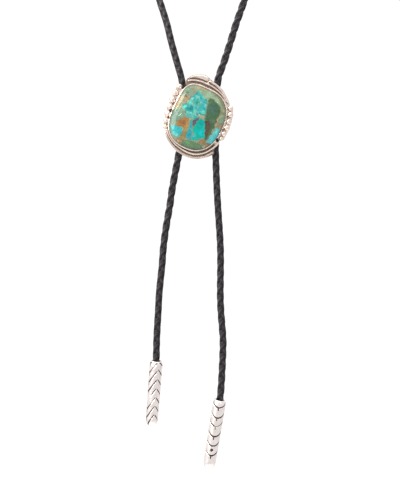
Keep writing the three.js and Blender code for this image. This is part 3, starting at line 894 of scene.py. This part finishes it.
def lobe():
    """The raised lens over the left half of the top crescent, crowned across its width."""
    outer, _ = evenly(smooth_curve(LOBE_OUTER), 0.25)
    inner, _ = evenly(smooth_curve(LOBE_INNER), 0.25)
    count = 56
    share = np.linspace(0, 1, count)
    ends = [np.stack([np.interp(share * (len(e) - 1), np.arange(len(e)), e[:, i])
                      for i in (0, 1)], -1) for e in (outer, inner)]
    rounded = np.sqrt(np.clip(1 - np.abs(2 * share - 1) ** 6, 0.0004, 1))
    across = np.concatenate([np.linspace(0, 1, 15), [1.0, 0.0]])
    lift = np.sqrt(np.clip(1 - np.abs(2 * across - 1) ** 3, 0, 1))
    lift[-2:] = -0.55
    rings = np.empty((count, len(across), 3))
    rings[..., :2] = (ends[0][:, None, :] * (1 - across)[None, :, None]
                      + ends[1][:, None, :] * across[None, :, None])
    rings[..., 2] = PLATE + 0.25 + 0.95 * rounded[:, None] * lift[None, :]
    points, faces = capped(rings)
    return mesh_piece("lobe", on_slide(points), faces,
                      patina=soot_by_height(points[:, 2], PLATE + 0.55, 0.4))


def ball(x, y, z, radii, around=36, up=22, seed=0):
    """Points and faces of a hand-made ball, a little uneven, at x, y, z in the slide's plane."""
    tilt = np.linspace(-np.pi / 2, np.pi / 2, up + 2)[1:-1]
    spin = np.arange(around) * TURN / around
    direction = np.stack([np.cos(tilt)[:, None] * np.cos(spin),
                          np.cos(tilt)[:, None] * np.sin(spin),
                          np.sin(tilt)[:, None] * np.ones(around)], -1)
    uneven = 1 + 0.07 * (patches(direction[..., :2] * 3 + x + y, 1.6, seed) - 0.5)
    return capped(np.array([x, y, z]) + direction * np.asarray(radii) * uneven[..., None])


def bead_row(name, beads, seed):
    """Beads sunk a little into the plate, dark where they meet it."""
    balls = [ball(x, y, PLATE + 0.3 * r, (r, r * 0.98, r * 0.95), seed=seed + i)
             for i, (x, y, r) in enumerate(beads)]
    points, faces = gathered(balls)
    points[:, 2] = np.maximum(points[:, 2], 0.02)
    return mesh_piece(name, on_slide(points), faces,
                      patina=soot_by_height(points[:, 2], PLATE + 0.4, 0.4))


def solder_blob():
    """The bead of solder that joins the lobe to the wire below it."""
    points, faces = ball(-1.25, 21, PLATE + 0.35, (0.42, 0.75, 0.5), 20, 12, seed=7)
    return mesh_piece("solder_blob", on_slide(points), faces, patina=np.zeros(len(points)))


setting = [back_plate(), bezel(), lobe(), solder_blob(),
           bead_row("beads_left", BEADS_LEFT, 71), bead_row("beads_right", BEADS_RIGHT, 91)]
setting += [wire("wire_" + key, route, WIRE_TARNISH[key], seed=i)
            for i, (key, route) in enumerate(WIRE_ROUTES.items())]
for piece in setting:
    keep(piece, SILVER, "silver")
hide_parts("slide_setting")

# ---------------------------------------------------------------- the clip behind the slide


def rounded_slab(width, length, low, high, corner, soft):
    """A plate with round corners and soft edges, as points and faces."""
    quarter = np.radians(np.arange(0, 91, 9))
    corners = []
    for i, (sx, sy) in enumerate(((1, 1), (-1, 1), (-1, -1), (1, -1))):
        turn = quarter + i * np.pi / 2
        centre = np.array([sx * (width / 2 - corner), sy * (length / 2 - corner)])
        corners.append(np.stack([np.cos(turn), np.sin(turn)], -1) * corner + centre)
    edge = np.vstack(corners)
    out = unit(edge)
    levels = [(-soft, low), (-0.3 * soft, low + 0.1 * soft), (0, low + soft),
              (0, high - soft), (-0.3 * soft, high - 0.1 * soft), (-soft, high)]
    return capped(np.array([flat(edge + out * inset, h) for inset, h in levels]))


def channel(side):
    """A rolled channel that the cord runs through, open at both ends."""
    half, bore = CLIP["length"] / 2, CLIP["bore"]
    lip = CLIP["wall"] / 2
    bend = np.radians(np.arange(0, 181, 30))
    profile = [(bore + lip + lip * np.cos(a), half - lip + lip * np.sin(a)) for a in bend]
    profile += [(bore + lip - lip * np.cos(a), -half + lip - lip * np.sin(a)) for a in bend]
    around = 48
    spin = np.arange(around) * TURN / around
    rings = np.array([np.stack([side * CLIP["spacing"] + r * np.cos(spin),
                                np.full(around, along), CLIP["axis"] + r * np.sin(spin)], -1)
                      for r, along in profile])
    return rings.reshape(-1, 3), grid_faces(len(profile), around, close_rows=True)


def clip():
    """The clip: a plate against the slide's back, with a channel down each side."""
    slab = rounded_slab(CLIP["width"], CLIP["length"], CLIP["back"], -0.02, 2.4, 0.22)
    points, faces = gathered([slab, channel(-1), channel(1)])
    return mesh_piece("clip_body", on_slide(points, CLIP["lean"]), faces)


keep(clip(), CLIP_METAL, "clip_metal", "cord_clip")

# ---------------------------------------------------------------- the stamped tips

TIP = {"mouth": 3.1, "belly": 3.9, "tail": 3.65, "lip": 0.4, "bore": 2.9, "round": 4.2,
       "nose": 1.2, "dip": 0.8, "sides": 168, "step": 0.17}
STAMP = {"half": 0.5, "deep": 0.3, "stem": 1.9}


def tip_radius(t, length):
    """Plain radius of a tip at depth t below its mouth."""
    shoulder = TIP["mouth"] + (TIP["belly"] - TIP["mouth"]) * np.sin(
        np.clip(t / 3.0, 0, 1) * np.pi / 2) ** 0.8
    slim = (TIP["belly"] - TIP["tail"]) * step_between(6, length - TIP["round"], t)
    tail = np.clip((t - length + TIP["round"]) / TIP["round"], 0, 1)
    return (shoulder - slim) * np.sqrt(1 - tail**2)


def stamped(phi, t, rows, rises, bend, dot):
    """How deep the stamped pattern is, from 0 to 1, at angle phi and depth t."""
    deep = np.zeros(np.broadcast(phi, t).shape)
    for face, lows, rise in zip((0, np.pi), rows, rises):
        off = np.angle(np.exp(1j * (phi - face)))
        share = np.abs(off) / (np.pi / 2)
        bow = rise * share**bend
        slope = bend * rise * share ** (bend - 1) / (np.pi / 2) / TIP["tail"]
        reach = step_between(1.0, 0.88, share)
        half = STAMP["half"] * (1.25 - 0.5 * share)
        stem_across = np.clip(1 - (off * TIP["tail"] / STAMP["half"]) ** 2, 0, 1)
        for low in lows:
            gap = np.abs(t - low + bow) / np.sqrt(1 + slope**2) / half
            groove = np.clip(1.2 * (1 - gap**2), 0, 1) * reach
            stem = stem_across * step_between(0, 0.2, t - low)
            stem = stem * step_between(STAMP["stem"] + 0.2, STAMP["stem"], t - low)
            if dot and 0 < dot - low < 4:
                stem = 0 * stem  # the dot takes its place
            deep = np.maximum(deep, np.maximum(groove, 0.75 * stem))
        if dot and face == 0:
            gap = np.hypot(off * TIP["tail"], t - dot) / 1.1
            deep = np.maximum(deep, np.clip(3 * (1 - gap**2), 0, 1.3))
    return deep


def tip(name, mouth, lean, length, turned, rows, rises, bend, dot, rubbed):
    """A tip: a slim bullet open at its mouth, with a stained pattern pressed into it and painted
    shade inside its bore.
    """
    around = TIP["sides"]
    spin = np.arange(around) * TURN / around
    nose = TIP["nose"] * np.sin(np.linspace(0, np.pi / 2, 16))[:-1]
    depth = np.concatenate([np.arange(0, length - TIP["nose"], TIP["step"]),
                            length - TIP["nose"] + nose])
    pattern = stamped(spin[None, :] - np.radians(turned), depth[:, None], rows, rises,
                      bend, dot)
    ends = step_between(0.3, 1.2, depth) * step_between(length - 0.4, length - 1.6, depth)
    pattern = pattern * ends[:, None]
    outer = tip_radius(depth, length)[:, None] - STAMP["deep"] * pattern
    lip = TIP["mouth"] - TIP["lip"]
    inside = [(TIP["bore"], 12), (TIP["bore"], 3), (lip, 1.2), (lip, 0.1),
              (TIP["mouth"] - 0.28, -0.1), (TIP["mouth"] - 0.12, -0.1)]
    reach = np.vstack([[np.full(around, r) for r, _ in inside], outer])
    below = np.concatenate([[t for _, t in inside], depth])
    dipped = TIP["dip"] * np.clip(np.cos(spin), 0, 1) ** 1.5
    low = below[:, None] + dipped * np.clip(1 - below / 4, 0, 1)[:, None]
    patchy_amount = patches(np.stack(np.broadcast_arrays(spin * 3.6, depth[:, None]), -1), 5, length)
    off = np.angle(np.exp(1j * (spin - rubbed[0]))) * TIP["belly"]
    bare = np.hypot(off, depth[:, None] - rubbed[1]) / rubbed[2]
    bare = rubbed[3] * step_between(1.6, 0.4, bare)
    stain = step_between(0.08, 0.45, pattern) * (0.6 + 0.6 * patchy_amount) * (1 - bare)
    stain = np.maximum(stain, step_between(1.0, 1.15, pattern))
    # painted shade: the bore inside the mouth is dark, and the lip is clean
    bore_shade, clean_lip = np.ones((4, around)), np.zeros((2, around))
    darkening = np.vstack([bore_shade, clean_lip, stain])
    local = np.stack([reach * np.sin(spin), -reach * np.cos(spin), -low], -1)
    points, faces = capped(local)
    c, s = np.cos(np.radians(lean)), np.sin(np.radians(lean))
    x, z = points[:, 0] * c + points[:, 2] * s, points[:, 2] * c - points[:, 0] * s
    placed = np.stack([x, points[:, 1], z], -1) + np.array(mouth)
    made = mesh_piece(name + "_shell", placed, faces, patina=np.append(darkening.ravel(), [1, 0]))
    return keep(made, TIP_SILVER, "silver", name)


tips = {name: tip(name, **facts) for name, facts in TIPS.items()}

# ---------------------------------------------------------------- floor, light and background

# These are in metres
FLOOR_Z = -1.0
FLOOR_HALF = 1.15
LIGHTS_AIM = (-0.002, -0.13, -0.205)


def floor():
    """A plain pale floor well below the tips."""
    corners = [(-1, -1), (1, -1), (1, 1), (-1, 1)]
    mesh = bpy.data.meshes.new("floor")
    mesh.from_pydata([(x * FLOOR_HALF, y * FLOOR_HALF, FLOOR_Z) for x, y in corners], [],
                     [[0, 1, 2, 3]])
    made = add_object("floor", mesh)
    m = Shader("pale_floor")
    tone = m.mix(m.ramp(m.noise(0.02), 0.3, 0.7), srgb("f4f4f4"), srgb("fafafa"))
    made.data.materials.append(m.finish(tone, m.ramp(m.noise(0.05), 0.3, 0.7, 0.8, 0.9)))
    made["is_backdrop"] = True


def softbox(name, at, size, power, colour=(1, 1, 1)):
    """A rectangular light at a place, aimed at the slide."""
    data = bpy.data.lights.new(name, "AREA")
    data.shape = "RECTANGLE"
    data.size, data.size_y = size
    data.energy = power
    data.color = colour
    made = add_object(name, data)
    made.visible_camera = False
    made.location = at
    made.rotation_euler = (Vector(LIGHTS_AIM) - Vector(at)).to_track_quat("-Z", "Y").to_euler()


def studio():
    """A white room, a little dimmer where the camera stands and brighter on the left."""
    world = bpy.data.worlds.new("studio")
    bpy.context.scene.world = world
    world.use_nodes = True
    nodes, links = world.node_tree.nodes, world.node_tree.links
    nodes.clear()
    place = nodes.new("ShaderNodeTexCoord")
    split = nodes.new("ShaderNodeSeparateXYZ")
    links.new(place.outputs["Generated"], split.inputs[0])
    strength = None
    # along each axis: from, to, and the strength at each
    for axis, facts in (("Y", (-0.97, 0.3, 0.84, 0.86)), ("Z", (-1.0, 1.0, 0.86, 1.1)),
                        ("X", (-0.9, -0.2, 1.1, 1.0))):
        ramp = nodes.new("ShaderNodeMapRange")
        ramp.interpolation_type = "SMOOTHSTEP"
        for index, value in enumerate(facts, 1):
            ramp.inputs[index].default_value = value
        links.new(split.outputs[axis], ramp.inputs[0])
        product = nodes.new("ShaderNodeMath")
        product.operation = "MULTIPLY"
        links.new(ramp.outputs[0], product.inputs[0])
        if strength is None:
            product.inputs[1].default_value = 1.0
        else:
            links.new(strength, product.inputs[1])
        strength = product.outputs[0]
    room, backdrop = nodes.new("ShaderNodeBackground"), nodes.new("ShaderNodeBackground")
    links.new(strength, room.inputs["Strength"])
    room.inputs["Color"].default_value = (1.0, 0.985, 0.97, 1)
    backdrop.inputs["Strength"].default_value = 1.05
    backdrop.inputs["Color"].default_value = (1, 1, 1, 1)
    seen = nodes.new("ShaderNodeLightPath")
    mixed, out = nodes.new("ShaderNodeMixShader"), nodes.new("ShaderNodeOutputWorld")
    links.new(seen.outputs["Is Camera Ray"], mixed.inputs[0])
    links.new(room.outputs[0], mixed.inputs[1])
    links.new(backdrop.outputs[0], mixed.inputs[2])
    links.new(mixed.outputs[0], out.inputs["Surface"])


floor()
studio()
softbox("left_window", (-0.7, -0.5, 0.29), (0.46, 0.18), 4.6, (1.0, 0.94, 0.87))
softbox("left_low", (-0.71, -0.64, -0.02), (0.5, 0.36), 4.6)
softbox("overhead", (0.05, -0.35, 0.75), (0.9, 0.7), 4.0)
softbox("right_glint", (0.505, -0.879, 0.253), (0.08, 0.03), 0.22)
softbox("left_glint", (-0.48, -0.975, 0.062), (0.1, 0.02), 0.22)
bpy.context.scene.view_settings.view_transform = "Standard"

visual_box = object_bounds()
boxes = {"cad": cad_box, "visual": visual_box}
("{" + ", ".join(
    f'"{name}": [{list(low)}, {list(high)}]' for name, (low, high) in boxes.items()) + "}")
